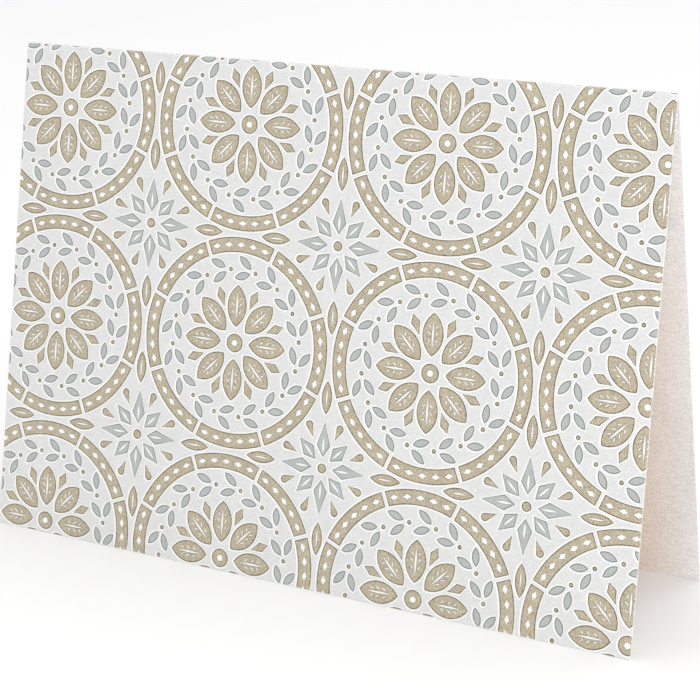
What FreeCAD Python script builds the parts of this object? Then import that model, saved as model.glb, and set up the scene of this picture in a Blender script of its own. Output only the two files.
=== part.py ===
import FreeCAD, Part
import math
import os

import Sketcher
from FreeCAD import Placement, Rotation, Vector

# A greeting card: one sheet of soft cotton paper, folded once and stood up like a tent.
# A die has pressed the main fields of its print a little way into the front panel.
# Frame: origin on the table under the middle of the fold, X along the fold, the front
# panel leaning towards minus Y, Z up. The feet's lower edges touch Z = 0. Millimetres.

# Driving dimensions. Every other size in this file is worked out from them.
DRIVING = [
    ("card_width", 177.8, "along the fold"),
    ("panel_height", 127.0, "one panel, from the crest of the fold to its cut edge"),
    ("sheet_thickness", 0.5, "soft cotton stock of 300 grams a square metre"),
    ("crease_radius", 0.25, "inside of the fold, where the paper is scored"),
    ("lean_angle", 10.5, "each panel from upright, in degrees"),
    ("press_depth", 0.15, "how far the die sinks its fields into the paper"),
    ("print_repeat", 54.0, "from one roundel to the next, both ways"),
    ("first_roundel_across", 14.9, "its centre, from the panel's left edge"),
    ("first_roundel_up", 3.1, "its centre, from the panel's cut edge"),
    ("fold_parts", 8, "leaves, darts and bars in one roundel, rays in one star"),
    ("leaf_base", 4.0, "from the roundel's centre"),
    ("leaf_tip", 14.4, "from the roundel's centre"),
    ("leaf_width", 5.5, "across its middle"),
    ("dart_base", 9.4, "from the roundel's centre"),
    ("dart_shoulder", 12.5, "where it is widest"),
    ("dart_tip", 14.6, "from the roundel's centre"),
    ("dart_width", 2.4, "across the shoulder"),
    ("ring_margin", 0.8, "from the ring's outside to the edge of its repeat"),
    ("ring_width", 3.7, "the band that the bars make"),
    ("bar_gap", 1.0, "between two bars"),
    ("ray_base", 2.8, "from the star's centre"),
    ("ray_shoulder", 5.6, "where it is widest"),
    ("long_ray_tip", 11.4, "towards the next star"),
    ("short_ray_tip", 9.4, "towards the next roundel"),
    ("ray_width", 3.7, "across the shoulder"),
    ("lancet_base", 13.2, "from the star's centre"),
    ("lancet_tip", 21.4, "from the star's centre"),
    ("lancet_width", 2.8, "across its middle"),
]

# A die's leaf is cut with straight strokes, so many on each side.
LEAF_CUTS = 5
LANCET_CUTS = 4


def make_sheet(doc):
    """The spreadsheet that holds the driving dimensions, one named cell each."""
    sizes = doc.addObject("Spreadsheet::Sheet", "Sizes")
    for row, (name, value, note) in enumerate(DRIVING, start=1):
        sizes.set("A%d" % row, name)
        sizes.set("B%d" % row, str(value))
        sizes.set("C%d" % row, note)
        sizes.setAlias("B%d" % row, name)
    doc.recompute()
    return sizes


def origin_feature(body, role):
    """One of the body's own origin planes or axes, found by its role."""
    for feature in body.Origin.OriginFeatures:
        if feature.Role == role:
            return feature
    raise RuntimeError("no origin feature " + role)


def new_body(doc, name, label):
    body = doc.addObject("PartDesign::Body", name)
    body.Label = label
    return body


def new_sketch(body, name, plane, turn=None):
    """A sketch on one of the body's planes, turned in it by a formula in degrees."""
    sketch = body.newObject("Sketcher::SketchObject", name)
    sketch.AttachmentSupport = (origin_feature(body, plane), [""])
    sketch.MapMode = "FlatFace"
    if turn:
        sketch.AttachmentOffset = Placement(Vector(), Rotation(Vector(0, 0, 1), 1))
        sketch.setExpression("AttachmentOffset.Rotation.Angle", turn)
    return sketch


def tie(sketch, *constraints):
    """Add plain geometric constraints."""
    for constraint in constraints:
        sketch.addConstraint(Sketcher.Constraint(*constraint))


def rule(sketch, name, formula, *constraint):
    """Add one dimension, named and bound to the spreadsheet."""
    number = sketch.addConstraint(Sketcher.Constraint(*constraint))
    sketch.renameConstraint(number, name)
    sketch.setExpression("Constraints." + name, formula)


def draw_fold_profile(sketch, sizes):
    """The section across the fold: two straight panels joined by a bend of even thickness."""
    lean = math.radians(sizes.lean_angle)
    inner = sizes.crease_radius
    outer = inner + sizes.sheet_thickness
    run = sizes.panel_height - outer
    centre = Vector(0, run * math.cos(lean) - inner * math.sin(lean), 0)
    bend = {}
    panel = {}
    for skin, radius in (("outer", outer), ("inner", inner)):
        circle = Part.Circle(centre, Vector(0, 0, 1), radius)
        bend[skin] = sketch.addGeometry(Part.ArcOfCircle(circle, lean, math.pi - lean))
        for side, sign in (("back", 1), ("front", -1)):
            top = centre + Vector(sign * math.cos(lean), math.sin(lean), 0) * radius
            foot = top + Vector(sign * math.sin(lean), -math.cos(lean), 0) * run
            panel[side, skin] = sketch.addGeometry(Part.LineSegment(top, foot))
            arc_end = 1 if side == "back" else 2
            tie(sketch, ("Tangent", bend[skin], arc_end, panel[side, skin], 1))
    for side in ("back", "front"):
        out_line, in_line = panel[side, "outer"], panel[side, "inner"]
        cut = sketch.addGeometry(
            Part.LineSegment(sketch.getPoint(out_line, 2), sketch.getPoint(in_line, 2))
        )
        tie(
            sketch,
            ("Coincident", out_line, 2, cut, 1),
            ("Coincident", cut, 2, in_line, 2),
            ("Parallel", out_line, in_line),
            ("Perpendicular", out_line, cut),
        )
    tie(
        sketch,
        ("Coincident", bend["outer"], 3, bend["inner"], 3),
        ("PointOnObject", bend["outer"], 3, -2),
        ("PointOnObject", panel["back", "inner"], 2, -1),
        ("Symmetric", panel["front", "outer"], 2, panel["back", "outer"], 2, -2),
    )
    rule(sketch, "crease", "Sizes.crease_radius", "Radius", bend["inner"], inner)
    rule(
        sketch, "outside_bend", "Sizes.crease_radius + Sizes.sheet_thickness",
        "Radius", bend["outer"], outer,
    )
    rule(
        sketch, "flat_run",
        "Sizes.panel_height - Sizes.crease_radius - Sizes.sheet_thickness",
        "Distance", panel["back", "outer"], run,
    )
    rule(
        sketch, "lean", "(Sizes.lean_angle - 90) * 1 deg",
        "Angle", panel["back", "outer"], lean - math.pi / 2,
    )


def make_folded_sheet(doc, sizes):
    """The plain folded sheet, as wide as the card."""
    body = new_body(doc, "FoldedSheet", "folded sheet")
    sketch = new_sketch(body, "FoldProfile", "YZ_Plane")
    draw_fold_profile(sketch, sizes)
    pad = body.newObject("PartDesign::Pad", "SheetWidth")
    pad.Profile = sketch
    pad.SideType = "Symmetric"
    pad.setExpression("Length", "Sizes.card_width")
    return body


def draw_chain(sketch, points):
    """A closed outline of straight cuts through the points, joined end to end."""
    count = len(points)
    lines = []
    for number, point in enumerate(points):
        following = points[(number + 1) % count]
        lines.append(sketch.addGeometry(Part.LineSegment(point, following)))
    for number, line in enumerate(lines):
        tie(sketch, ("Coincident", line, 2, lines[(number + 1) % count], 1))
    return lines


def draw_kite(sketch, sizes, base, shoulder, tip, width):
    """Four straight sides along the X axis, widest at the shoulder."""
    near, wide, far = (getattr(sizes, name) for name in (base, shoulder, tip))
    half = getattr(sizes, width) / 2
    corners = [Vector(near, 0, 0), Vector(wide, -half, 0), Vector(far, 0, 0), Vector(wide, half, 0)]
    lines = draw_chain(sketch, corners)
    tie(
        sketch,
        ("PointOnObject", lines[0], 1, -1),
        ("PointOnObject", lines[2], 1, -1),
        ("Symmetric", lines[1], 1, lines[3], 1, -1),
    )
    rule(sketch, "base", "Sizes." + base, "DistanceX", lines[0], 1, near)
    rule(sketch, "shoulder", "Sizes." + shoulder, "DistanceX", lines[1], 1, wide)
    rule(sketch, "tip", "Sizes." + tip, "DistanceX", lines[2], 1, far)
    rule(sketch, "width", "Sizes." + width, "DistanceY", lines[1], 1, lines[3], 1, 2 * half)


def draw_leaf(sketch, sizes, base, tip, width, cuts):
    """A pointed leaf along the X axis: each side is a run of equal cuts inside one arc."""
    near, far, across = (getattr(sizes, name) for name in (base, tip, width))
    chord = far - near
    radius = (chord ** 2 + across ** 2) / (4 * across)
    middle = (near + far) / 2
    sweep = math.asin(chord / 2 / radius)
    circle = Part.Circle(Vector(middle, radius - across / 2, 0), Vector(0, 0, 1), radius)
    guide = sketch.addGeometry(
        Part.ArcOfCircle(circle, -math.pi / 2 - sweep, -math.pi / 2 + sweep), True
    )
    lower = [
        circle.Center + Vector(math.sin(angle), -math.cos(angle), 0) * radius
        for angle in (sweep * (2 * step / cuts - 1) for step in range(cuts + 1))
    ]
    upper = [Vector(point.x, -point.y, 0) for point in lower[-2:0:-1]]
    lines = draw_chain(sketch, lower + upper)
    tie(
        sketch,
        ("Coincident", guide, 1, lines[0], 1),
        ("Coincident", guide, 2, lines[cuts], 1),
        ("PointOnObject", lines[0], 1, -1),
        ("PointOnObject", lines[cuts], 1, -1),
    )
    for step in range(1, cuts):
        tie(
            sketch,
            ("PointOnObject", lines[step], 1, guide),
            ("Equal", lines[step], lines[0]),
            ("Symmetric", lines[step], 1, lines[2 * cuts - step], 1, -1),
        )
    rule(sketch, "base", "Sizes." + base, "DistanceX", lines[0], 1, near)
    rule(sketch, "tip", "Sizes." + tip, "DistanceX", lines[cuts], 1, far)
    rule(
        sketch, "side",
        "((Sizes.{1} - Sizes.{0})^2 + Sizes.{2}^2) / (4 * Sizes.{2})".format(base, tip, width),
        "Radius", guide, radius,
    )


def draw_bar(sketch, sizes):
    """One bar of the ring: a stretch of the band between two straight gaps."""
    outer = sizes.print_repeat / 2 - sizes.ring_margin
    inner = outer - sizes.ring_width
    pitch = math.pi / sizes.fold_parts
    arcs = []
    corners = []
    for radius in (outer, inner):
        end = pitch - math.asin(sizes.bar_gap / 2 / radius)
        circle = Part.Circle(Vector(), Vector(0, 0, 1), radius)
        arcs.append(sketch.addGeometry(Part.ArcOfCircle(circle, -end, end)))
        corners.append(Vector(math.cos(end), math.sin(end), 0) * radius)
        tie(sketch, ("Coincident", arcs[-1], 3, -1, 1))
    end_line = sketch.addGeometry(Part.LineSegment(*corners))
    start_line = sketch.addGeometry(
        Part.LineSegment(*(Vector(point.x, -point.y, 0) for point in corners))
    )
    reach = Vector(math.cos(pitch), math.sin(pitch), 0) * outer
    middle_of_gap = sketch.addGeometry(Part.LineSegment(Vector(), reach), True)
    tie(
        sketch,
        ("Coincident", arcs[0], 2, end_line, 1),
        ("Coincident", arcs[1], 2, end_line, 2),
        ("Coincident", arcs[0], 1, start_line, 1),
        ("Coincident", arcs[1], 1, start_line, 2),
        ("Vertical", end_line, 1, start_line, 1),
        ("Vertical", end_line, 2, start_line, 2),
        ("Coincident", middle_of_gap, 1, -1, 1),
        ("PointOnObject", middle_of_gap, 2, arcs[0]),
        ("Parallel", end_line, middle_of_gap),
    )
    rule(
        sketch, "ring_outside", "Sizes.print_repeat / 2 - Sizes.ring_margin",
        "Radius", arcs[0], outer,
    )
    rule(
        sketch, "ring_inside", "Sizes.print_repeat / 2 - Sizes.ring_margin - Sizes.ring_width",
        "Radius", arcs[1], inner,
    )
    rule(sketch, "pitch", "180 deg / Sizes.fold_parts", "Angle", middle_of_gap, pitch)
    rule(
        sketch, "gap", "Sizes.bar_gap / 2",
        "Distance", end_line, 1, middle_of_gap, sizes.bar_gap / 2,
    )


def add_field(body, sketch, copies):
    """Give the sketch the depth of the press, and repeat it round the body's Z axis."""
    pad = body.newObject("PartDesign::Pad", sketch.Name + "Field")
    pad.Profile = sketch
    pad.Refine = False
    pad.SideType = "Two sides"
    pad.setExpression("Length", "Sizes.sheet_thickness")
    pad.setExpression("Length2", "Sizes.press_depth")
    ring = body.newObject("PartDesign::PolarPattern", sketch.Name + "Ring")
    ring.Originals = [pad]
    ring.Axis = (origin_feature(body, "Z_Axis"), [""])
    ring.Angle = 360
    ring.Refine = False
    ring.setExpression("Occurrences", copies)
    body.Tip = ring


def make_roundel(doc, sizes):
    """The die's fields of one roundel: leaves, darts and the bars of the ring."""
    body = new_body(doc, "RoundelDie", "roundel die")
    all_round = "Sizes.fold_parts"
    leaf = new_sketch(body, "Leaf", "XY_Plane")
    draw_leaf(leaf, sizes, "leaf_base", "leaf_tip", "leaf_width", LEAF_CUTS)
    add_field(body, leaf, all_round)
    dart = new_sketch(body, "Dart", "XY_Plane", "180 / Sizes.fold_parts")
    draw_kite(dart, sizes, "dart_base", "dart_shoulder", "dart_tip", "dart_width")
    add_field(body, dart, all_round)
    bar = new_sketch(body, "Bar", "XY_Plane")
    draw_bar(bar, sizes)
    add_field(body, bar, all_round)
    return body


def make_star(doc, sizes):
    """The die's fields between four roundels: a star of rays and four lancet leaves."""
    body = new_body(doc, "StarDie", "star die")
    every_other = "Sizes.fold_parts / 2"
    for name, tip, turn in (
        ("LongRay", "long_ray_tip", None),
        ("ShortRay", "short_ray_tip", "360 / Sizes.fold_parts"),
    ):
        ray = new_sketch(body, name, "XY_Plane", turn)
        draw_kite(ray, sizes, "ray_base", "ray_shoulder", tip, "ray_width")
        add_field(body, ray, every_other)
    lancet = new_sketch(body, "Lancet", "XY_Plane")
    draw_leaf(lancet, sizes, "lancet_base", "lancet_tip", "lancet_width", LANCET_CUTS)
    add_field(body, lancet, every_other)
    return body


def front_panel_placement(sizes):
    """From the die's flat frame, X across and Y up from the cut edge's middle, to the panel."""
    lean = math.radians(sizes.lean_angle)
    outer = sizes.crease_radius + sizes.sheet_thickness
    run = sizes.panel_height - outer
    foot = Vector(
        0,
        -outer * math.cos(lean) - run * math.sin(lean),
        sizes.sheet_thickness * math.sin(lean),
    )
    return Placement(foot, Rotation(Vector(1, 0, 0), 90 - sizes.lean_angle))


def make_print(doc, sizes, roundel, star):
    """Copies of the two dies over the front panel, a repeat apart, where they meet the paper."""
    repeat = sizes.print_repeat
    sheet = Part.makeBox(sizes.card_width, sizes.panel_height, sizes.sheet_thickness)
    sheet.translate(Vector(-sizes.card_width / 2, 0, -sizes.sheet_thickness / 2))
    columns = range(-1, math.ceil(sizes.card_width / repeat) + 1)
    rows = range(-1, math.ceil(sizes.panel_height / repeat) + 1)
    fields = []
    for die, shift in ((roundel, 0), (star, repeat / 2)):
        for column in columns:
            for row in rows:
                centre = Vector(
                    sizes.first_roundel_across - sizes.card_width / 2 + column * repeat + shift,
                    sizes.first_roundel_up + row * repeat + shift,
                    0,
                )
                for solid in die.Shape.Solids:
                    field = solid.translated(centre)
                    if field.BoundBox.intersect(sheet.BoundBox):
                        fields.append(field)
    pressed = doc.addObject("Part::Feature", "PressedFields")
    pressed.Label = "pressed fields"
    pressed.Shape = Part.makeCompound(fields)
    pressed.Placement = front_panel_placement(sizes)
    return pressed


def make_card(doc, sizes):
    """The folded sheet with the print pressed into its front panel."""
    sheet = make_folded_sheet(doc, sizes)
    roundel = make_roundel(doc, sizes)
    star = make_star(doc, sizes)
    doc.recompute()
    card = doc.addObject("Part::Cut", "Card")
    card.Label = "card"
    card.Refine = False
    card.Base = sheet
    card.Tool = make_print(doc, sizes, roundel, star)
    card.Placement = Placement()
    return card


def check(doc, parts):
    """Stop before anything is written if an object failed or a shape isn't one good solid."""
    for item in doc.Objects:
        if "Invalid" in item.State or "Error" in item.State:
            raise RuntimeError("failed: " + item.Label)
    for item in parts:
        shape = item.Shape
        if shape.isNull() or not shape.isValid() or len(shape.Solids) != 1:
            raise RuntimeError("bad solid: " + item.Label)


def main():
    doc = FreeCAD.newDocument("GreetingCard")
    sizes = make_sheet(doc)
    parts = [make_card(doc, sizes)]
    doc.recompute()
    check(doc, parts)
    os.makedirs("parts", exist_ok=True)
    for item in parts:
        item.Shape.exportStep("parts/" + item.Label + ".step")
        box = item.Shape.BoundBox
        print(item.Label, "volume", round(item.Shape.Volume, 2), "box", box)


main()
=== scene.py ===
import math
from typing import NamedTuple, Sequence

import bmesh
import bpy
from bpy.props import FloatProperty, FloatVectorProperty, IntProperty, PointerProperty
from mathutils import Matrix, Vector
from mathutils.geometry import tessellate_polygon


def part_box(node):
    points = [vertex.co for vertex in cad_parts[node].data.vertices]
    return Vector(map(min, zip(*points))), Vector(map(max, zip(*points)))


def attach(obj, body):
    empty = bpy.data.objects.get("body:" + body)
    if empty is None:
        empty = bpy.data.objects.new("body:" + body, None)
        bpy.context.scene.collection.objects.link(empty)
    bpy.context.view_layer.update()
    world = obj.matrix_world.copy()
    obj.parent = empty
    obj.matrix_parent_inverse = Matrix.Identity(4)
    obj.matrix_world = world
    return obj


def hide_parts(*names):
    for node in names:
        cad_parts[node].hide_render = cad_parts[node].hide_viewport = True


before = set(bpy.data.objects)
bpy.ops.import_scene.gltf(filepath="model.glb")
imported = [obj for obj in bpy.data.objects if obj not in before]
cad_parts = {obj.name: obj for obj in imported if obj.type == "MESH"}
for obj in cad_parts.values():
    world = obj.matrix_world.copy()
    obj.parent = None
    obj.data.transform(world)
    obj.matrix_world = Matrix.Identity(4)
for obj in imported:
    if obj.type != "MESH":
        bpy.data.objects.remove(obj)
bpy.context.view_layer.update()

bl_info = {
    "name": "Letterpress greeting card",
    "version": (1, 0, 0),
    "blender": (4, 5, 0),
    "location": "3D View > Sidebar > Card",
    "description": "A folded card of soft cotton paper with a two-colour print pressed into it",
    "category": "Object",
}

# The card is drawn flat first: X along the fold, Y from the front panel's cut edge over
# the fold to the back panel's, Z up from the printed skin. Then it is folded.
# Outlines are in millimetres. Meshes and properties are in metres.
MM = 0.001
NODE = "card"
CARD_LOW, CARD_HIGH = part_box(NODE)

# Zones of the paper, kept on its faces, one for each material. What is given for EVERYWHERE
# goes on all faces before the rest, as the pressed paper's painted highlight material does.
EVERYWHERE = 0
PRINTED_SKIN = 1
INSIDE = 2
CUT_EDGE = 3
PRESSED = 4

# The sheet bends along this many strips over the fold, an odd number that leaves one
# strip on the crest.
FOLD_BENDS = 17
# The flat sheet is divided into an odd number of cells of about this size both ways.
CELL = 9 * MM
# Points nearer than this to a dividing plane lie on it, in metres.
ON_THE_PLANE = 1e-7
# Faces that meet at less than this angle count as flat, in radians.
FLAT_ENOUGH = 0.01

# The window that clips the print is far taller than the sheet is thick. To cut the sheet
# it reaches past the sheet's edges, and for an ink film it stays just inside them.
WINDOW_HEIGHT = 0.01
CUT_OVERREACH = 0.01
FILM_MARGIN = 0.03 * MM

# A pressed field's rounded shoulder bends once, at these shares of its width and depth.
BEND_ACROSS = 0.3
BEND_DOWN = 0.4
# A corner is carried out by this many times the shoulder's width at most.
LONGEST_CORNER = 1.25
# A knock-out is this much narrower at its top, in millimetres, and its top lies below the
# skin by this share of the press depth.
KNOCK_OUT_DRAFT = 0.04
KNOCK_OUT_SINK = 0.1
# The die reaches this many press depths above the skin.
DIE_ABOVE = 2

# The generic print, in millimetres and degrees, one repeat of it. A leaf, slit or drop is
# its two ends and half width, and a kite its base, shoulder, tip and half width, on a line
# out from the centre of its roundel or star, or from its foot on the garland's circle.
REPEAT = 54.0
PARTS = 8
SHOULDER = 0.38

HUB = 2.3
HUB_HOLE = 0.8
LEAF = (4.0, 14.4, 2.75)
MIDRIB = (5.9, 12.4, 0.27)
# Each pair of side veins: its place along the leaf, and the veins' length.
SIDE_VEINS = ((6.9, 1.25), (8.6, 1.45), (10.3, 1.1))
VEIN_HALF = 0.18
VEIN_TURN = 42
VEIN_FORWARD = 0.35
VEIN_ASIDE = 0.52
DART = (9.4, 12.5, 14.6, 1.2)
RING_MARGIN = 0.8
RING_WIDTH = 3.7
BAR_GAP = 1.0
DIAMONDS = 5
DIAMOND = (0.68, 1.15)
# A bar's length over the step from one diamond to the next.
DIAMOND_STEPS = 5.15

GARLAND_CIRCLE = 18.3
GARLAND_PAIRS = 2 * PARTS
GARLAND_LEAF = (0.35, 5.0, 1.0)
GARLAND_TURN = 29
GARLAND_FOOT = 0.4
GARLAND_SHOULDER = 0.36
BERRY = 0.55
# A berry lies this share of a pair's step behind it.
BERRY_BEHIND = 0.15

STAR_HUB = 1.2
RAY_BASE = 2.8
RAY_SHOULDER = 5.6
RAY_TIPS = (11.4, 9.4)
RAY_HALF = 1.85
RAY_SLIT = (3.7, 7.6, 0.3)
DROP = (7.8, 12.0, 0.95)
LANCETS = 4
LANCET = (13.2, 21.4, 1.4)
LANCET_SLIT = (15.1, 19.3, 0.22)

# Steps of the outlines.
LEAF_STEPS = 12
GARLAND_STEPS = 9
SLIT_STEPS = 7
VEIN_STEPS = 4
BAR_STEPS = 12
DISC_STEPS = 28
STAR_HUB_STEPS = 20
SMALL_STEPS = 14

# The inside is of its painted warm shade up to the first distance from the card's middle along
# the fold, and of its open tone, with its painted pink bounce light, from the second.
DEEP_END = 73 * MM
OPEN_END = 87 * MM

# The middle stretch of a noise, between its rarer lows and highs, and the roughness that
# the paper and the ink have over it.
MIDDLE = (0.3, 0.7)
PAPER_ROUGHNESS = (0.82, 0.96)
INK_ROUGHNESS = (0.5, 0.68)
# The paper's fibres beside its tooth: their share of the sparkle, and their height.
FIBRE_TONE = 0.5
FIBRE_HEIGHT = 1.4
# The ink beside its grain: the blotches' share of the mottle, and the rims' height.
BLOTCH_TONE = 0.12
RIM_HEIGHT = 0.6
INK_BUMP = 0.02 * MM
# The ink misses the paper where a fine noise is in this stretch or above it, up to this
# share. A rim is squeezed out more and more over its stretch of the rim value.
MISSED = (0.62, 0.74)
MOST_MISSED = 0.42
SQUEEZED = (0.05, 0.6)

FLOOR_TONES = (0.965, 0.98)
FLOOR_SEGMENTS = 96
# Each soft box: its name, place, size and the studio setting of its power.
SOFT_BOXES = (
    ("key_light", (0.66, -0.66, 0.5), 0.8, "key"),
    ("left_light", (-1.2, -1.2, 1.2), 1.4, "left"),
    ("overhead_light", (0.0, 0.8, 2.4), 3.0, "overhead"),
)

# The camera, fitted to the corners of the photographed panels: its place in metres, its
# turns in degrees, its lens and sensor in millimetres and its shift in frame widths.
CAMERA_PLACE = (0.23124, -0.40122, 0.20255)
CAMERA_YAW = 27.813
CAMERA_PITCH = 13.5
CAMERA_ROLL = -0.627
CAMERA_LENS = 100.5
CAMERA_SENSOR = 36.0
CAMERA_SHIFT = (-0.0714, -0.2143)
CAMERA_CLIP = (0.01, 20.0)


# Sizes and colours

class SheetSizes(bpy.types.PropertyGroup):
    card_width: FloatProperty(
        name="Card width", description="Along the fold",
        default=CARD_HIGH.x - CARD_LOW.x, unit="LENGTH",
    )
    panel_height: FloatProperty(
        name="Panel height", description="One panel, from the crest of the fold to its cut edge",
        default=127 * MM, unit="LENGTH",
    )
    thickness: FloatProperty(
        name="Thickness", description="Of the paper", default=0.5 * MM, unit="LENGTH",
    )
    crease_radius: FloatProperty(
        name="Crease radius", description="Inside of the fold", default=0.25 * MM, unit="LENGTH",
    )
    lean: FloatProperty(
        name="Lean", description="Each panel from upright",
        default=math.radians(10.5), subtype="ANGLE",
    )
    edge_softness: FloatProperty(
        name="Edge softness", description="Small chamfer on the cut edges",
        default=0.05 * MM, unit="LENGTH",
    )


class PrintSizes(bpy.types.PropertyGroup):
    press_depth: FloatProperty(
        name="Press depth", description="How far the die sinks its fields into the paper",
        default=0.15 * MM, unit="LENGTH",
    )
    ink_film: FloatProperty(
        name="Ink film", description="Thickness of the ink layer",
        default=0.04 * MM, unit="LENGTH",
    )
    rim_width: FloatProperty(
        name="Rim width", description="Darker rim where the ink is squeezed out",
        default=0.36 * MM, unit="LENGTH",
    )
    hole_rim_width: FloatProperty(
        name="Knock-out rim width", description="The same rim beside the knock-outs",
        default=0.12 * MM, unit="LENGTH",
    )
    repeat: FloatProperty(
        name="Repeat", description="From one roundel to the next, both ways",
        default=REPEAT * MM, unit="LENGTH",
    )
    first_across: FloatProperty(
        name="First roundel across", description="Its centre, from the panel's left edge",
        default=14.9 * MM, unit="LENGTH",
    )
    first_up: FloatProperty(
        name="First roundel up", description="Its centre, from the panel's cut edge",
        default=3.1 * MM, unit="LENGTH",
    )
    columns: IntProperty(
        name="Columns", description="Repeats across, one of them left of the panel", default=5,
    )
    rows: IntProperty(name="Rows", description="Repeats up the panel", default=3)


class CardColours(bpy.types.PropertyGroup):
    paper: FloatVectorProperty(
        name="Paper", description="Uncoated skin between the motifs",
        default=(0.752, 0.757, 0.752), subtype="COLOR",
    )
    # A painted highlight: the shoulders and knock-outs beside the ink are painted brighter than the
    # paper.
    shoulder_highlight: FloatVectorProperty(
        name="Shoulder highlight", description="Bright shoulders and knock-outs beside the ink",
        default=(0.94, 0.94, 0.93), subtype="COLOR",
    )
    # Painted bounce light: the near-white inside paper is given a warm pink tint.
    inside: FloatVectorProperty(
        name="Inside", description="Inner side of the card beside its open ends",
        default=(0.92, 0.893, 0.885), subtype="COLOR",
    )
    # Painted shade: the inside turns to this warmer, darker tone deep in the tent, away from the
    # open ends.
    painted_deep_shade: FloatVectorProperty(
        name="Painted deep shade", description="Inner side away from the ends, a warmer tone",
        default=(0.9, 0.755, 0.65), subtype="COLOR",
    )
    cut_edge: FloatVectorProperty(
        name="Cut edge", description="Core of the paper",
        default=(0.92, 0.92, 0.92), subtype="COLOR",
    )
    tan_ink: FloatVectorProperty(
        name="Tan ink", description="First printing",
        default=(0.505, 0.44, 0.325), subtype="COLOR",
    )
    grey_ink: FloatVectorProperty(
        name="Grey ink", description="Second printing",
        default=(0.482, 0.507, 0.498), subtype="COLOR",
    )
    tan_rim: FloatVectorProperty(
        name="Tan rim", description="Tints the tan ink where it is squeezed out",
        default=(1.0, 0.95, 0.75), subtype="COLOR",
    )
    grey_rim: FloatVectorProperty(
        name="Grey rim", description="Tints the grey ink where it is squeezed out",
        default=(1.0, 1.0, 1.0), subtype="COLOR",
    )


class StudioSettings(bpy.types.PropertyGroup):
    floor_radius: FloatProperty(
        name="Floor radius", description="Of the pale floor", default=4.0, unit="LENGTH",
    )
    sky: FloatProperty(name="Sky", description="Strength of the even light", default=0.475)
    key: FloatProperty(
        name="Key light", description="Soft light from the right, into the open end",
        default=4.7, unit="POWER",
    )
    left: FloatProperty(
        name="Left light", description="Soft light from the upper left",
        default=3.0, unit="POWER",
    )
    overhead: FloatProperty(
        name="Overhead light", description="Wide soft light from above",
        default=43.0, unit="POWER",
    )


# Outlines, counter-clockwise, in millimetres

def polar(radius, angle, centre=(0.0, 0.0)):
    return (centre[0] + radius * math.cos(angle), centre[1] + radius * math.sin(angle))


def placed(points, angle, centre=(0.0, 0.0)):
    """The outline turned about the origin, then moved to the centre."""
    c, s = math.cos(angle), math.sin(angle)
    return [(centre[0] + x * c - y * s, centre[1] + x * s + y * c) for x, y in points]


def leaf(base, tip, half, steps=LEAF_STEPS):
    """A pointed leaf along the X axis, between two equal arcs."""
    reach = (tip - base) / 2
    radius = (reach ** 2 + half ** 2) / (2 * half)
    sweep = math.asin(reach / radius)
    side = [
        (base + reach + radius * math.sin(turn), half - radius + radius * math.cos(turn))
        for turn in (sweep * (2 * step / steps - 1) for step in range(steps + 1))
    ]
    return [(x, -y) for x, y in side[:-1]] + side[:0:-1]


def kite(base, shoulder, tip, half):
    """Along the X axis, widest at its shoulder."""
    return [(base, 0.0), (shoulder, -half), (tip, 0.0), (shoulder, half)]


def drop(point, end, half, steps=SMALL_STEPS):
    """Pointed towards the origin, round at its far end."""
    centre = end - half
    tangent = math.acos(half / (centre - point))
    start, sweep = tangent - math.pi, 2 * math.pi - 2 * tangent
    turns = (start + sweep * step / steps for step in range(steps + 1))
    return [(point, 0.0)] + [polar(half, turn, (centre, 0.0)) for turn in turns]


def disc(centre, radius, steps=DISC_STEPS):
    return [polar(radius, math.tau * step / steps, centre) for step in range(steps)]


def bar(outer, width, gap, parts):
    """A stretch of a ring between two straight gaps."""
    outline = []
    for radius, sign in ((outer, 1), (outer - width, -1)):
        end = math.pi / parts - math.asin(gap / 2 / radius)
        for step in range(BAR_STEPS + 1):
            outline.append(polar(radius, sign * end * (2 * step / BAR_STEPS - 1)))
    return outline


def diamond(across, along):
    """About the origin, from half its width and half its length."""
    return [(-across, 0.0), (0.0, -along), (across, 0.0), (0.0, along)]


def widened(points, distance):
    """The outline moved outwards, with long corners kept short."""
    result = []
    count = len(points)
    for number, point in enumerate(points):
        before, after = points[number - 1], points[(number + 1) % count]
        sides = []
        for start, end in ((before, point), (point, after)):
            across, up = end[0] - start[0], end[1] - start[1]
            length = math.hypot(across, up)
            sides.append((up / length, -across / length))
        (ax, ay), (bx, by) = sides
        share = max(1 + ax * bx + ay * by, 0.001)
        mx, my = (ax + bx) / share, (ay + by) / share
        cut = min(1.0, LONGEST_CORNER / math.hypot(mx, my))
        result.append((point[0] + mx * cut * distance, point[1] + my * cut * distance))
    return result


# The print's motifs

class Motif(NamedTuple):
    """One shape of the print: its ink, outline, knock-outs and shoulder's width."""

    ink: str
    outline: list
    holes: Sequence = ()
    shoulder: float = SHOULDER


def leaf_veins(turn):
    """A midrib and its pairs of side veins."""
    veins = [leaf(*MIDRIB, SLIT_STEPS)]
    for start, length in SIDE_VEINS:
        for side in (1, -1):
            vein = leaf(0.0, length, VEIN_HALF, VEIN_STEPS)
            foot = (start + VEIN_FORWARD, side * VEIN_ASIDE)
            veins.append(placed(vein, side * math.radians(VEIN_TURN), foot))
    return [placed(vein, turn) for vein in veins]


def ring_bar(turn):
    """One bar of a roundel's ring, with its row of diamonds."""
    outer = REPEAT / 2 - RING_MARGIN
    middle = outer - RING_WIDTH / 2
    step = (math.tau / PARTS - BAR_GAP / middle) / DIAMOND_STEPS
    holes = []
    for number in range(DIAMONDS):
        angle = turn + (number - (DIAMONDS - 1) / 2) * step
        holes.append(placed(diamond(*DIAMOND), angle, polar(middle, angle)))
    return Motif("tan", placed(bar(outer, RING_WIDTH, BAR_GAP, PARTS), turn), holes)


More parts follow.
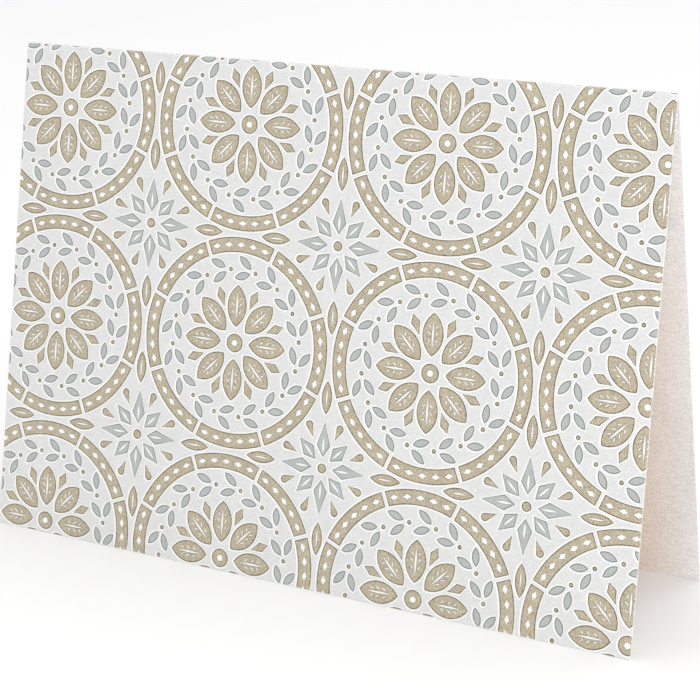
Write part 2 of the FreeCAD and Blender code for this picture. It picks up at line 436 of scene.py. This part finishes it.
def roundel_motifs():
    """Leaves and darts about a hub, inside a ring of bars."""
    motifs = [Motif("tan", disc((0, 0), HUB), [disc((0, 0), HUB_HOLE, SMALL_STEPS)])]
    for part in range(PARTS):
        turn = math.tau * part / PARTS
        motifs.append(Motif("tan", placed(leaf(*LEAF), turn), leaf_veins(turn)))
        motifs.append(Motif("tan", placed(kite(*DART), turn + math.pi / PARTS)))
        motifs.append(ring_bar(turn))
    return motifs


def garland_motifs():
    """Pairs of small leaves on a circle, with a berry in each fork."""
    motifs = []
    for pair in range(GARLAND_PAIRS):
        turn = math.tau * (pair + 0.5) / GARLAND_PAIRS
        for side in (1, -1):
            angle = turn + math.pi / 2 - side * math.radians(GARLAND_TURN)
            foot = polar(GARLAND_CIRCLE + side * GARLAND_FOOT, turn)
            outline = placed(leaf(*GARLAND_LEAF, GARLAND_STEPS), angle, foot)
            motifs.append(Motif("grey", outline, shoulder=GARLAND_SHOULDER))
        berry = polar(GARLAND_CIRCLE, turn - BERRY_BEHIND * math.tau / GARLAND_PAIRS)
        motifs.append(Motif("tan", disc(berry, BERRY, SMALL_STEPS)))
    return motifs


def star_motifs():
    """A star of rays in the corner between four roundels, and four lancet leaves."""
    centre = (REPEAT / 2, REPEAT / 2)
    motifs = [Motif("tan", disc(centre, STAR_HUB, STAR_HUB_STEPS))]
    for part in range(PARTS):
        turn = math.tau * part / PARTS
        ray = kite(RAY_BASE, RAY_SHOULDER, RAY_TIPS[part % 2], RAY_HALF)
        slit = placed(leaf(*RAY_SLIT, SLIT_STEPS), turn, centre)
        motifs.append(Motif("grey", placed(ray, turn, centre), [slit]))
        motifs.append(Motif("tan", placed(drop(*DROP), turn + math.pi / PARTS, centre)))
    for part in range(LANCETS):
        turn = math.tau * part / LANCETS
        slit = placed(leaf(*LANCET_SLIT, SLIT_STEPS), turn, centre)
        motifs.append(Motif("tan", placed(leaf(*LANCET), turn, centre), [slit]))
    return motifs


def all_motifs():
    return roundel_motifs() + garland_motifs() + star_motifs()


# Closed shells built ring by ring

class Shell:
    """Rings of points joined by bands and closed by caps, with a zone and a rim value kept."""

    def __init__(self):
        self.points = []
        self.faces = []
        self.zones = []
        self.rims = []

    def ring(self, outline, height, rim=0.0):
        """Points along an outline in millimetres, at a height in metres."""
        first = len(self.points)
        self.points.extend(Vector((x * MM, y * MM, height)) for x, y in outline)
        self.rims.extend([rim] * len(outline))
        return list(range(first, len(self.points)))

    def band(self, lower, upper, zone):
        """Quads between two rings: they face outwards where the lower ring comes first."""
        count = len(lower)
        for number in range(count):
            following = (number + 1) % count
            quad = (lower[number], lower[following], upper[following], upper[number])
            self.faces.append(quad)
            self.zones.append(zone)

    def cap(self, rings, zone, up=True):
        """A flat face inside the first ring, with the other rings left open."""
        order = [index for ring in rings for index in ring]
        lines = [[self.points[index] for index in ring] for ring in rings]
        corners = tessellate_polygon(lines)
        triangles = [[order[corner] for corner in triangle] for triangle in corners]
        faces_up = sum(self.doubled_area(*triangle) for triangle in triangles) > 0
        for a, b, c in triangles:
            self.faces.append((a, b, c) if faces_up == up else (a, c, b))
            self.zones.append(zone)

    def doubled_area(self, a, b, c):
        """Of a flat triangle, positive where it faces up."""
        return (self.points[b] - self.points[a]).cross(self.points[c] - self.points[a]).z

    def mesh(self, name):
        mesh = bpy.data.meshes.new(name)
        mesh.from_pydata(self.points, [], self.faces)
        zone = mesh.attributes.new("zone", "INT", "FACE")
        zone.data.foreach_set("value", self.zones)
        rim = mesh.attributes.new("rim", "FLOAT", "POINT")
        rim.data.foreach_set("value", self.rims)
        mesh.validate()
        return mesh


def add_object(name, data):
    item = bpy.data.objects.new(name, data)
    bpy.context.scene.collection.objects.link(item)
    return item


def die_object(prints):
    """The die of one repeat: what it takes out of the paper's skin."""
    die = Shell()
    floor = -prints.press_depth
    for motif in all_motifs():
        top_outline = widened(motif.outline, motif.shoulder)
        profile = [
            die.ring(motif.outline, floor),
            die.ring(widened(motif.outline, BEND_ACROSS * motif.shoulder), BEND_DOWN * floor),
            die.ring(top_outline, 0.0),
            die.ring(top_outline, DIE_ABOVE * prints.press_depth),
        ]
        for lower, upper in zip(profile, profile[1:]):
            die.band(lower, upper, PRESSED)
        die.cap(profile[-1:], PRESSED)
        feet = [profile[0]]
        for hole in motif.holes:
            foot = die.ring(hole, floor)
            top = die.ring(widened(hole, -KNOCK_OUT_DRAFT), KNOCK_OUT_SINK * floor)
            die.band(top, foot, PRESSED)
            die.cap([top], PRESSED, up=False)
            feet.append(foot)
        die.cap(feet, PRESSED, up=False)
    return add_object("die_of_one_repeat", die.mesh("die_of_one_repeat"))


def film_object(prints, ink):
    """The ink film of one repeat, half sunk into the floor of the pressed fields."""
    film = Shell()
    low = -prints.press_depth - prints.ink_film / 2
    high = -prints.press_depth + prints.ink_film / 2
    for motif in all_motifs():
        if motif.ink != ink:
            continue
        inner = widened(motif.outline, -prints.rim_width / MM)
        bottom = film.ring(motif.outline, low)
        rim = film.ring(motif.outline, high, 1.0)
        field = film.ring(inner, high)
        film.band(bottom, rim, EVERYWHERE)
        film.band(rim, field, EVERYWHERE)
        tops, bottoms = [field], [bottom]
        for hole in motif.holes:
            edge = film.ring(hole, high, 1.0)
            tops.append(film.ring(widened(hole, prints.hole_rim_width / MM), high))
            bottoms.append(film.ring(hole, low))
            film.band(tops[-1], edge, EVERYWHERE)
            film.band(edge, bottoms[-1], EVERYWHERE)
        film.cap(tops, EVERYWHERE)
        film.cap(bottoms, EVERYWHERE, up=False)
    name = ink + "_film_of_one_repeat"
    return add_object(name, film.mesh(name))


def flat_sheet_object(sheet):
    """The opened sheet before it is pressed, with softened cut edges and divided in cells."""
    blank = Shell()
    half = sheet.card_width / 2 / MM
    far = developed_length(sheet) / MM
    soft = sheet.edge_softness / MM

    def outline(inset):
        return [
            (inset - half, inset), (half - inset, inset),
            (half - inset, far - inset), (inset - half, far - inset),
        ]

    rings = [
        blank.ring(outline(soft), -sheet.thickness),
        blank.ring(outline(0.0), sheet.edge_softness - sheet.thickness),
        blank.ring(outline(0.0), -sheet.edge_softness),
        blank.ring(outline(soft), 0.0),
    ]
    for lower, upper in zip(rings, rings[1:]):
        blank.band(lower, upper, CUT_EDGE)
    blank.cap(rings[:1], INSIDE, up=False)
    blank.cap(rings[-1:], PRINTED_SKIN)
    paper = add_object("card_paper", blank.mesh("card_paper"))
    shape = bmesh.new()
    shape.from_mesh(paper.data)
    bmesh.ops.dissolve_limit(
        shape, angle_limit=FLAT_ENOUGH, verts=shape.verts, edges=shape.edges,
    )
    for axis, start, extent in (
        (0, -sheet.card_width / 2, sheet.card_width), (1, 0.0, developed_length(sheet)),
    ):
        cells = 2 * round(extent / CELL / 2) + 1
        for cell in range(1, cells):
            divide(shape, axis, start + extent * cell / cells)
    for line in fold_lines(sheet):
        divide(shape, 1, line)
    shape.to_mesh(paper.data)
    shape.free()
    return paper


def divide(shape, axis, place, parts=None):
    """Cut through the faces of a flat piece, across one axis."""
    normal = [0.0, 0.0, 0.0]
    normal[axis] = 1.0
    if parts is None:
        parts = [*shape.verts, *shape.edges, *shape.faces]
    bmesh.ops.bisect_plane(
        shape, geom=parts, dist=ON_THE_PLANE,
        plane_co=[place * part for part in normal], plane_no=normal,
    )


def fold_lines(sheet):
    """Where the flat sheet bends, from the start of its fold to the end."""
    start, arc = fold_start(sheet), fold_arc(sheet)
    return [start + arc * bend / FOLD_BENDS for bend in range(FOLD_BENDS + 1)]


def fold_start(sheet):
    return sheet.panel_height - sheet.crease_radius - sheet.thickness


def fold_arc(sheet):
    """Length of the outer skin over the fold."""
    return (sheet.crease_radius + sheet.thickness) * (math.pi - 2 * sheet.lean)


def developed_length(sheet):
    """Of the opened sheet, from one cut edge to the other."""
    return 2 * fold_start(sheet) + fold_arc(sheet)


# Node trees

GEOMETRY = "NodeSocketGeometry"
NUMBER = "NodeSocketFloat"
WHOLE = "NodeSocketInt"
YES_OR_NO = "NodeSocketBool"
OBJECT = "NodeSocketObject"
MATERIAL = "NodeSocketMaterial"
VECTOR = "NodeSocketVector"
COLOUR = "NodeSocketColor"

# A Mix node's colour sockets: the first and second colour, and the result.
MIX_FIRST = 6
MIX_SECOND = 7
MIX_RESULT = 2


def add_node(tree, kind, inputs=None, **settings):
    """A node with its settings, and its sockets set or linked by name or number."""
    node = tree.nodes.new(kind)
    for name, value in settings.items():
        setattr(node, name, value)
    for key, value in (inputs or {}).items():
        socket = node.inputs[key]
        if isinstance(value, bpy.types.NodeSocket):
            tree.links.new(value, socket)
        else:
            socket.default_value = value
    return node


def calc(tree, operation, *values):
    """One Math node."""
    inputs = dict(enumerate(values))
    return add_node(tree, "ShaderNodeMath", inputs, operation=operation).outputs[0]


def joined(tree, **values):
    """A vector from its X, Y and Z, each zero where it isn't given."""
    return add_node(tree, "ShaderNodeCombineXYZ", values).outputs[0]


def new_tree(name, kind, inputs, outputs):
    """A node group with named inputs and outputs, given as pairs of name and socket type."""
    tree = bpy.data.node_groups.new(name, kind)
    for title, socket_type in inputs:
        tree.interface.new_socket(title, in_out="INPUT", socket_type=socket_type)
    for title, socket_type in outputs:
        tree.interface.new_socket(title, in_out="OUTPUT", socket_type=socket_type)
    given, result = tree.nodes.new("NodeGroupInput"), tree.nodes.new("NodeGroupOutput")
    return tree, given.outputs, result.inputs


def print_tree():
    """Repeats one tile over the panel, clips it, and cuts it from the sheet or keeps it."""
    tree, given, result = new_tree(
        "print_repeat", "GeometryNodeTree",
        [
            ("Sheet", GEOMETRY), ("Tile", OBJECT), ("Repeat", NUMBER), ("First across", NUMBER),
            ("First up", NUMBER), ("Columns", WHOLE), ("Rows", WHOLE), ("Window width", NUMBER),
            ("Window foot", NUMBER), ("Window head", NUMBER), ("Cut the sheet", YES_OR_NO),
        ],
        [("Geometry", GEOMETRY)],
    )
    repeat = given["Repeat"]
    across = calc(tree, "MULTIPLY", calc(tree, "SUBTRACT", given["Columns"], 1.0), repeat)
    up = calc(tree, "MULTIPLY", calc(tree, "SUBTRACT", given["Rows"], 1.0), repeat)
    grid = add_node(tree, "GeometryNodeMeshGrid", {
        "Size X": across, "Size Y": up,
        "Vertices X": given["Columns"], "Vertices Y": given["Rows"],
    })
    left = calc(tree, "SUBTRACT", given["First across"], repeat)
    middle = joined(
        tree,
        X=calc(tree, "ADD", left, calc(tree, "DIVIDE", across, 2.0)),
        Y=calc(tree, "ADD", given["First up"], calc(tree, "DIVIDE", up, 2.0)),
    )
    centres = moved(tree, grid.outputs["Mesh"], middle)
    tile = add_node(tree, "GeometryNodeObjectInfo", {"Object": given["Tile"]})
    copies = add_node(
        tree, "GeometryNodeInstanceOnPoints",
        {"Points": centres, "Instance": tile.outputs["Geometry"]},
    )
    tiles = add_node(tree, "GeometryNodeRealizeInstances", {"Geometry": copies.outputs[0]})
    height = calc(tree, "SUBTRACT", given["Window head"], given["Window foot"])
    size = joined(tree, X=given["Window width"], Y=height, Z=WINDOW_HEIGHT)
    block = add_node(tree, "GeometryNodeMeshCube", {"Size": size})
    lift = joined(
        tree, Y=calc(tree, "ADD", given["Window foot"], calc(tree, "DIVIDE", height, 2.0)),
    )
    window = moved(tree, block.outputs["Mesh"], lift)
    clipped = add_node(tree, "GeometryNodeMeshBoolean", operation="INTERSECT", solver="MANIFOLD")
    tree.links.new(tiles.outputs[0], clipped.inputs[1])
    tree.links.new(window, clipped.inputs[1])
    pressed = add_node(
        tree, "GeometryNodeMeshBoolean",
        {0: given["Sheet"], 1: clipped.outputs[0]}, operation="DIFFERENCE", solver="MANIFOLD",
    )
    choice = add_node(
        tree, "GeometryNodeSwitch",
        {"Switch": given["Cut the sheet"], "False": clipped.outputs[0], "True": pressed.outputs[0]},
        input_type="GEOMETRY",
    )
    tree.links.new(choice.outputs[0], result[0])
    return tree


def moved(tree, geometry, distance):
    return add_node(
        tree, "GeometryNodeTransform", {"Geometry": geometry, "Translation": distance},
    ).outputs[0]


def fold_tree(name, zones):
    """Bends the flat sheet over its fold, and gives each zone its material."""
    tree, given, result = new_tree(
        name, "GeometryNodeTree",
        [
            ("Flat sheet", GEOMETRY), ("Fold start", NUMBER), ("Thickness", NUMBER),
            ("Crease radius", NUMBER), ("Lean", NUMBER),
        ] + [(title, MATERIAL) for title, _ in zones],
        [("Geometry", GEOMETRY)],
    )
    place = add_node(tree, "GeometryNodeInputPosition")
    flat = add_node(tree, "ShaderNodeSeparateXYZ", {0: place.outputs[0]}).outputs
    lean, start, crease = given["Lean"], given["Fold start"], given["Crease radius"]
    outer = calc(tree, "ADD", crease, given["Thickness"])
    right_angles = calc(tree, "SUBTRACT", math.pi, lean)
    arc = calc(tree, "MULTIPLY", outer, calc(tree, "SUBTRACT", right_angles, lean))
    past = calc(tree, "SUBTRACT", flat["Y"], start)
    round_fold = calc(tree, "MINIMUM", calc(tree, "MAXIMUM", past, 0.0), arc)
    along = calc(tree, "SUBTRACT", past, round_fold)
    angle = calc(tree, "SUBTRACT", right_angles, calc(tree, "DIVIDE", round_fold, outer))
    reach = calc(tree, "ADD", outer, flat["Z"])
    cosine, sine = calc(tree, "COSINE", angle), calc(tree, "SINE", angle)
    centre = calc(
        tree, "SUBTRACT",
        calc(tree, "MULTIPLY", start, calc(tree, "COSINE", lean)),
        calc(tree, "MULTIPLY", crease, calc(tree, "SINE", lean)),
    )
    depth = calc(
        tree, "ADD",
        calc(tree, "MULTIPLY", reach, cosine), calc(tree, "MULTIPLY", along, sine),
    )
    rise = calc(
        tree, "SUBTRACT",
        calc(tree, "MULTIPLY", reach, sine), calc(tree, "MULTIPLY", along, cosine),
    )
    bent = joined(tree, X=flat["X"], Y=depth, Z=calc(tree, "ADD", centre, rise))
    folded = add_node(
        tree, "GeometryNodeSetPosition", {"Geometry": given["Flat sheet"], "Position": bent},
    )
    last = add_node(tree, "GeometryNodeRealizeInstances", {"Geometry": folded.outputs[0]})
    zone = add_node(tree, "GeometryNodeInputNamedAttribute", {"Name": "zone"}, data_type="INT")
    for title, number in zones:
        inputs = {"Geometry": last.outputs[0], "Material": given[title]}
        if number != EVERYWHERE:
            same = add_node(tree, "FunctionNodeCompare", data_type="INT", operation="EQUAL")
            sockets = {socket.identifier: socket for socket in same.inputs}
            tree.links.new(zone.outputs["Attribute"], sockets["A_INT"])
            sockets["B_INT"].default_value = number
            inputs["Selection"] = same.outputs[0]
        last = add_node(tree, "GeometryNodeSetMaterial", inputs)
    tree.links.new(last.outputs[0], result[0])
    return tree


def shape_by(item, tree, values):
    """Run a node tree on the object with the named values, and keep the plain mesh it makes."""
    modifier = item.modifiers.new(tree.name, "NODES")
    modifier.node_group = tree
    for socket in tree.interface.items_tree:
        if socket.in_out == "INPUT" and socket.name in values:
            modifier[socket.identifier] = values[socket.name]
    item.update_tag()
    graph = bpy.context.evaluated_depsgraph_get()
    graph.update()
    mesh = bpy.data.meshes.new_from_object(item.evaluated_get(graph), depsgraph=graph)
    item.modifiers.remove(modifier)
    old = item.data
    item.data = mesh
    name = old.name
    bpy.data.meshes.remove(old)
    mesh.name = name
    drop_empty_slots(mesh)


def drop_empty_slots(mesh):
    """The boolean leaves an empty material slot that no face uses."""
    kept = [material for material in mesh.materials if material]
    if kept:
        numbers = [kept.index(mesh.materials[face.material_index]) for face in mesh.polygons]
        mesh.materials.clear()
        for material in kept:
            mesh.materials.append(material)
        mesh.polygons.foreach_set("material_index", numbers)


def score(item, sheet):
    """Divide the flat piece along the lines where the fold bends it."""
    shape = bmesh.new()
    shape.from_mesh(item.data)
    bmesh.ops.triangulate(shape, faces=shape.faces)
    for line in fold_lines(sheet):
        near = [face for face in shape.faces if reaches(face, line)]
        parts = near + list({edge for face in near for edge in face.edges})
        parts += list({point for face in near for point in face.verts})
        divide(shape, 1, line, parts)
    bmesh.ops.triangulate(shape, faces=shape.faces)
    shape.to_mesh(item.data)
    shape.free()


def reaches(face, line):
    heights = [point.co.y for point in face.verts]
    return min(heights) <= line <= max(heights)


def print_values(sheet, prints, tile, cut):
    """The print tree's inputs, to cut the sheet or to keep the tile as an ink film."""
    half = sheet.card_width / 2
    below_crest = fold_lines(sheet)[FOLD_BENDS // 2]
    spare = CUT_OVERREACH if cut else -FILM_MARGIN
    return {
        "Tile": tile,
        "Repeat": prints.repeat,
        "First across": prints.first_across - half,
        "First up": prints.first_up,
        "Columns": prints.columns,
        "Rows": prints.rows,
        "Window width": 2 * (half + spare),
        "Window foot": -spare,
        "Window head": below_crest,
        "Cut the sheet": cut,
    }


def fold_values(sheet):
    return {
        "Fold start": fold_start(sheet),
        "Thickness": sheet.thickness,
        "Crease radius": sheet.crease_radius,
        "Lean": sheet.lean,
    }


# Materials

def new_material(name, values):
    """A material with its Principled shader, whose plain values are set on its own sockets."""
    material = bpy.data.materials.new(name)
    material.use_nodes = True
    tree = material.node_tree
    tree.nodes.clear()
    shader = add_node(tree, "ShaderNodeBsdfPrincipled", values)
    add_node(tree, "ShaderNodeOutputMaterial", {"Surface": shader.outputs[0]})
    return material, tree, shader


def object_vector(tree):
    return add_node(tree, "ShaderNodeTexCoord").outputs["Object"]


def noise(tree, vector, scale, detail=2.0, roughness=0.5):
    return add_node(
        tree, "ShaderNodeTexNoise",
        {"Vector": vector, "Scale": scale, "Detail": detail, "Roughness": roughness},
    ).outputs["Fac"]


def swing(tree, value, amount):
    """A noise's rise and fall about its middle, times an amount."""
    return calc(tree, "MULTIPLY", calc(tree, "SUBTRACT", value, 0.5), amount)


def span(tree, value, stretch, onto=(0.0, 1.0)):
    """Map Range from one stretch of values onto another, clamped."""
    (low, high), (to_low, to_high) = stretch, onto
    return add_node(
        tree, "ShaderNodeMapRange",
        {"Value": value, "From Min": low, "From Max": high, "To Min": to_low, "To Max": to_high},
    ).outputs["Result"]


def mixed(tree, factor, first, second, blend="MIX"):
    """Two colours mixed by a factor."""
    return add_node(
        tree, "ShaderNodeMix", {"Factor": factor, MIX_FIRST: first, MIX_SECOND: second},
        data_type="RGBA", blend_type=blend,
    ).outputs[MIX_RESULT]


def grey_of(tree, tone):
    return add_node(
        tree, "ShaderNodeCombineColor", {"Red": tone, "Green": tone, "Blue": tone},
    ).outputs[0]


def toned(tree, colour, tone):
    """The colour times a grey tone."""
    return mixed(tree, 1.0, colour, grey_of(tree, tone), "MULTIPLY")


def paper_group():
    """Cotton paper: a fine tooth, lying fibres and a faint cloudy tone."""
    tree, given, result = new_tree(
        "cotton_paper", "ShaderNodeTree",
        [("Vector", VECTOR), ("Colour", COLOUR), ("Sparkle", NUMBER), ("Cloud", NUMBER)],
        [("Colour", COLOUR), ("Roughness", NUMBER), ("Height", NUMBER)],
    )
    vector = given["Vector"]
    tooth = noise(tree, vector, scale=2600.0, detail=3.0, roughness=0.6)
    lying = add_node(
        tree, "ShaderNodeMapping",
        {"Vector": vector, "Scale": (1.0, 3.0, 5.0), "Rotation": (0.5, 0.4, 0.7)},
    ).outputs[0]
    fibres = noise(tree, lying, scale=520.0, detail=4.0, roughness=0.65)
    clouds = noise(tree, vector, scale=90.0)
    fine = swing(tree, tooth, given["Sparkle"])
    wide = swing(tree, clouds, given["Cloud"])
    thread = swing(tree, fibres, calc(tree, "MULTIPLY", given["Sparkle"], FIBRE_TONE))
    tone = calc(tree, "ADD", calc(tree, "ADD", fine, wide), calc(tree, "ADD", thread, 1.0))
    height = calc(tree, "ADD", tooth, calc(tree, "MULTIPLY", fibres, FIBRE_HEIGHT))
    tree.links.new(toned(tree, given["Colour"], tone), result["Colour"])
    tree.links.new(span(tree, tooth, MIDDLE, onto=PAPER_ROUGHNESS), result["Roughness"])
    tree.links.new(height, result["Height"])
    return tree


def ink_group():
    """Printing ink on paper: mottled, with a few missed fibres and a darker squeezed rim."""
    tree, given, result = new_tree(
        "pressed_ink", "ShaderNodeTree",
        [
            ("Vector", VECTOR), ("Ink", COLOUR), ("Paper", COLOUR), ("Rim", NUMBER),
            ("Rim tint", COLOUR), ("Rim tone", NUMBER), ("Mottle", NUMBER),
        ],
        [("Colour", COLOUR), ("Roughness", NUMBER), ("Height", NUMBER)],
    )
    vector = given["Vector"]
    grain = noise(tree, vector, scale=3300.0, detail=3.0, roughness=0.7)
    blotch = noise(tree, vector, scale=500.0)
    specks = noise(tree, vector, scale=3400.0, roughness=0.6)
    missed = span(tree, specks, MISSED, onto=(0.0, MOST_MISSED))
    squeezed = span(tree, given["Rim"], SQUEEZED)
    fine = swing(tree, grain, given["Mottle"])
    wide = swing(tree, blotch, calc(tree, "MULTIPLY", given["Mottle"], BLOTCH_TONE))
    dark = calc(tree, "MULTIPLY", squeezed, given["Rim tone"])
    tone = calc(tree, "SUBTRACT", calc(tree, "ADD", calc(tree, "ADD", fine, wide), 1.0), dark)
    inked = toned(tree, given["Ink"], tone)
    tinted = mixed(tree, squeezed, inked, given["Rim tint"], "MULTIPLY")
    bare = calc(tree, "MULTIPLY", missed, calc(tree, "SUBTRACT", 1.0, squeezed))
    height = calc(tree, "ADD", grain, calc(tree, "MULTIPLY", squeezed, RIM_HEIGHT))
    tree.links.new(mixed(tree, bare, tinted, given["Paper"]), result["Colour"])
    tree.links.new(span(tree, grain, MIDDLE, onto=INK_ROUGHNESS), result["Roughness"])
    tree.links.new(height, result["Height"])
    return tree


def use_group(tree, shader, group, inputs, bump):
    """Place a shared group and lead what it puts out to the shader."""
    node = add_node(tree, "ShaderNodeGroup", inputs, node_tree=group)
    relief = add_node(
        tree, "ShaderNodeBump",
        {"Strength": 1.0, "Distance": bump, "Height": node.outputs["Height"]},
    )
    tree.links.new(node.outputs["Colour"], shader.inputs["Base Color"])
    tree.links.new(node.outputs["Roughness"], shader.inputs["Roughness"])
    tree.links.new(relief.outputs[0], shader.inputs["Normal"])


def paper_material(name, colour, group, sparkle, cloud, bump, painted_shade_colour=None):
    """Cotton paper, with a painted warm shade away from the card's open ends where one is given."""
    values = {"Specular IOR Level": 0.3, "Sheen Weight": 0.08}
    material, tree, shader = new_material(name, values)
    vector = object_vector(tree)
    shade = (*colour, 1.0)
    if painted_shade_colour:
        # Painted shade: the colour turns warmer towards the middle of the fold, away from the open
        # ends.
        across = add_node(tree, "ShaderNodeSeparateXYZ", {0: vector}).outputs["X"]
        openness = span(tree, calc(tree, "ABSOLUTE", across), (DEEP_END, OPEN_END))
        shade = mixed(tree, openness, (*painted_shade_colour, 1.0), shade)
    inputs = {"Vector": vector, "Colour": shade, "Sparkle": sparkle, "Cloud": cloud}
    use_group(tree, shader, group, inputs, bump)
    return material


def ink_material(name, ink, rim_tint, paper, group, rim_tone, mottle):
    """Ink whose rim is tinted and darkened along the edges of its fields."""
    material, tree, shader = new_material(name, {"Specular IOR Level": 0.4})
    rim = add_node(tree, "ShaderNodeAttribute", attribute_name="rim", attribute_type="GEOMETRY")
    inputs = {
        "Vector": object_vector(tree), "Ink": (*ink, 1.0), "Paper": (*paper, 1.0),
        "Rim": rim.outputs["Fac"], "Rim tint": (*rim_tint, 1.0), "Rim tone": rim_tone,
        "Mottle": mottle,
    }
    use_group(tree, shader, group, inputs, INK_BUMP)
    return material


# Operators

class CARD_OT_paper(bpy.types.Operator):
    """Make the folded sheet with the print pressed into its front panel"""

    bl_idname = "card.paper"
    bl_label = "Make the pressed paper"

    def execute(self, context):
        scene = context.scene
        sheet, prints, colours = scene.sheet_sizes, scene.print_sizes, scene.card_colours
        group = paper_group()
        skins = {
            # The pressed paper's brighter colour is a painted highlight on the shoulders and
            # knock-outs.
            "Pressed paper": paper_material(
                "pressed_paper", colours.shoulder_highlight, group,
                sparkle=0.02, cloud=0.02, bump=0.01 * MM,
            ),
            "Printed skin": paper_material(
                "printed_skin", colours.paper, group,
                sparkle=0.42, cloud=0.05, bump=0.03 * MM,
            ),
            # Painted light inside the tent: a warm pink tint, and a warmer painted shade away from
            # the open ends.
            "Inside": paper_material(
                "inside_paper", colours.inside, group,
                sparkle=0.85, cloud=0.15, bump=0.03 * MM, painted_shade_colour=colours.painted_deep_shade,
            ),
            "Cut edge": paper_material(
                "cut_edge", colours.cut_edge, group,
                sparkle=0.05, cloud=0.02, bump=0.04 * MM,
            ),
        }
        zones = [
            ("Pressed paper", EVERYWHERE), ("Printed skin", PRINTED_SKIN),
            ("Inside", INSIDE), ("Cut edge", CUT_EDGE),
        ]
        die = die_object(prints)
        paper = flat_sheet_object(sheet)
        shape_by(paper, print_tree(), print_values(sheet, prints, die, True))
        score(paper, sheet)
        shape_by(paper, fold_tree("fold_paper", zones), {**fold_values(sheet), **skins})
        bpy.data.objects.remove(die)
        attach(paper, "root")
        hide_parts(NODE)
        return {"FINISHED"}


class CARD_OT_inks(bpy.types.Operator):
    """Print the two inks on the floors of the pressed fields"""

    bl_idname = "card.inks"
    bl_label = "Print the inks"

    def execute(self, context):
        scene = context.scene
        sheet, prints, colours = scene.sheet_sizes, scene.print_sizes, scene.card_colours
        group = ink_group()
        repeating = print_tree()
        folding = fold_tree("fold_film", [("Ink", EVERYWHERE)])
        for ink, colour, rim_tint, rim_tone, mottle in (
            ("tan", colours.tan_ink, colours.tan_rim, 0.64, 2.5),
            ("grey", colours.grey_ink, colours.grey_rim, 0.56, 1.0),
        ):
            tile = film_object(prints, ink)
            film = add_object(ink + "_print", bpy.data.meshes.new(ink + "_print"))
            shape_by(film, repeating, print_values(sheet, prints, tile, False))
            score(film, sheet)
            material = ink_material(
                ink + "_ink", colour, rim_tint, colours.paper, group, rim_tone, mottle,
            )
            shape_by(film, folding, {**fold_values(sheet), "Ink": material})
            bpy.data.objects.remove(tile)
            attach(film, "root")
        return {"FINISHED"}


class CARD_OT_stage(bpy.types.Operator):
    """Set the pale floor, the soft studio light and the camera"""

    bl_idname = "card.stage"
    bl_label = "Set the stage"

    def execute(self, context):
        scene = context.scene
        studio = scene.studio_settings
        add_floor(studio.floor_radius)
        add_sky(scene, studio.sky)
        for name, place, size, power in SOFT_BOXES:
            add_light(name, place, size, getattr(studio, power))
        add_camera(scene)
        scene.view_settings.view_transform = "Standard"
        return {"FINISHED"}


def add_floor(radius):
    """A pale matt disc under the card, with a barely uneven tone."""
    shape = bmesh.new()
    bmesh.ops.create_circle(shape, cap_ends=True, segments=FLOOR_SEGMENTS, radius=radius)
    mesh = bpy.data.meshes.new("floor")
    shape.to_mesh(mesh)
    shape.free()
    floor = add_object("floor", mesh)
    values = {"Specular IOR Level": 0.1, "Roughness": 0.9}
    material, tree, shader = new_material("pale_floor", values)
    uneven = noise(tree, object_vector(tree), scale=3.0)
    tone = span(tree, uneven, MIDDLE, onto=FLOOR_TONES)
    tree.links.new(grey_of(tree, tone), shader.inputs["Base Color"])
    mesh.materials.append(material)


def add_sky(scene, strength):
    """Even white light from all around."""
    world = bpy.data.worlds.new("even_light")
    world.use_nodes = True
    background = world.node_tree.nodes["Background"]
    background.inputs["Color"].default_value = (1.0, 1.0, 1.0, 1.0)
    background.inputs["Strength"].default_value = strength
    scene.world = world


def add_light(name, place, size, power):
    """A square soft box that looks at the middle of the card."""
    light = bpy.data.lights.new(name, "AREA")
    light.size = size
    light.energy = power
    lamp = add_object(name, light)
    middle = (CARD_LOW + CARD_HIGH) / 2
    lamp.location = place
    lamp.rotation_euler = (middle - Vector(place)).to_track_quat("-Z", "Y").to_euler()


def add_camera(scene):
    """The photograph's view: the optical axis meets the frame above and right of its middle."""
    camera = bpy.data.cameras.new("camera")
    camera.sensor_width = CAMERA_SENSOR
    camera.lens = CAMERA_LENS
    camera.shift_x, camera.shift_y = CAMERA_SHIFT
    camera.clip_start, camera.clip_end = CAMERA_CLIP
    view = add_object("camera", camera)
    upright = math.pi / 2 - math.radians(CAMERA_PITCH)
    turn = Matrix.Rotation(math.radians(CAMERA_YAW), 4, "Z") @ Matrix.Rotation(upright, 4, "X")
    turn = turn @ Matrix.Rotation(math.radians(CAMERA_ROLL), 4, "Z")
    view.matrix_world = Matrix.Translation(CAMERA_PLACE) @ turn
    scene.camera = view


class CARD_PT_panel(bpy.types.Panel):
    """Sizes, colours and steps of the card"""

    bl_idname = "CARD_PT_panel"
    bl_label = "Letterpress card"
    bl_space_type = "VIEW_3D"
    bl_region_type = "UI"
    bl_category = "Card"

    def draw(self, context):
        for title, group in (
            ("Sheet", context.scene.sheet_sizes),
            ("Print", context.scene.print_sizes),
            ("Colours", context.scene.card_colours),
            ("Studio", context.scene.studio_settings),
        ):
            box = self.layout.box()
            box.label(text=title)
            for name in group.__annotations__:
                box.prop(group, name)
        for operator in STEPS:
            self.layout.operator(operator.bl_idname)


STEPS = (CARD_OT_paper, CARD_OT_inks, CARD_OT_stage)
GROUPS = {
    "sheet_sizes": SheetSizes,
    "print_sizes": PrintSizes,
    "card_colours": CardColours,
    "studio_settings": StudioSettings,
}
CLASSES = (*GROUPS.values(), *STEPS, CARD_PT_panel)


def register():
    for item in CLASSES:
        bpy.utils.register_class(item)
    for name, group in GROUPS.items():
        setattr(bpy.types.Scene, name, PointerProperty(type=group))


def unregister():
    for name in GROUPS:
        delattr(bpy.types.Scene, name)
    for item in reversed(CLASSES):
        bpy.utils.unregister_class(item)


def main():
    register()
    bpy.ops.card.paper()
    bpy.ops.card.inks()
    bpy.ops.card.stage()


if __name__ == "__main__":
    main()
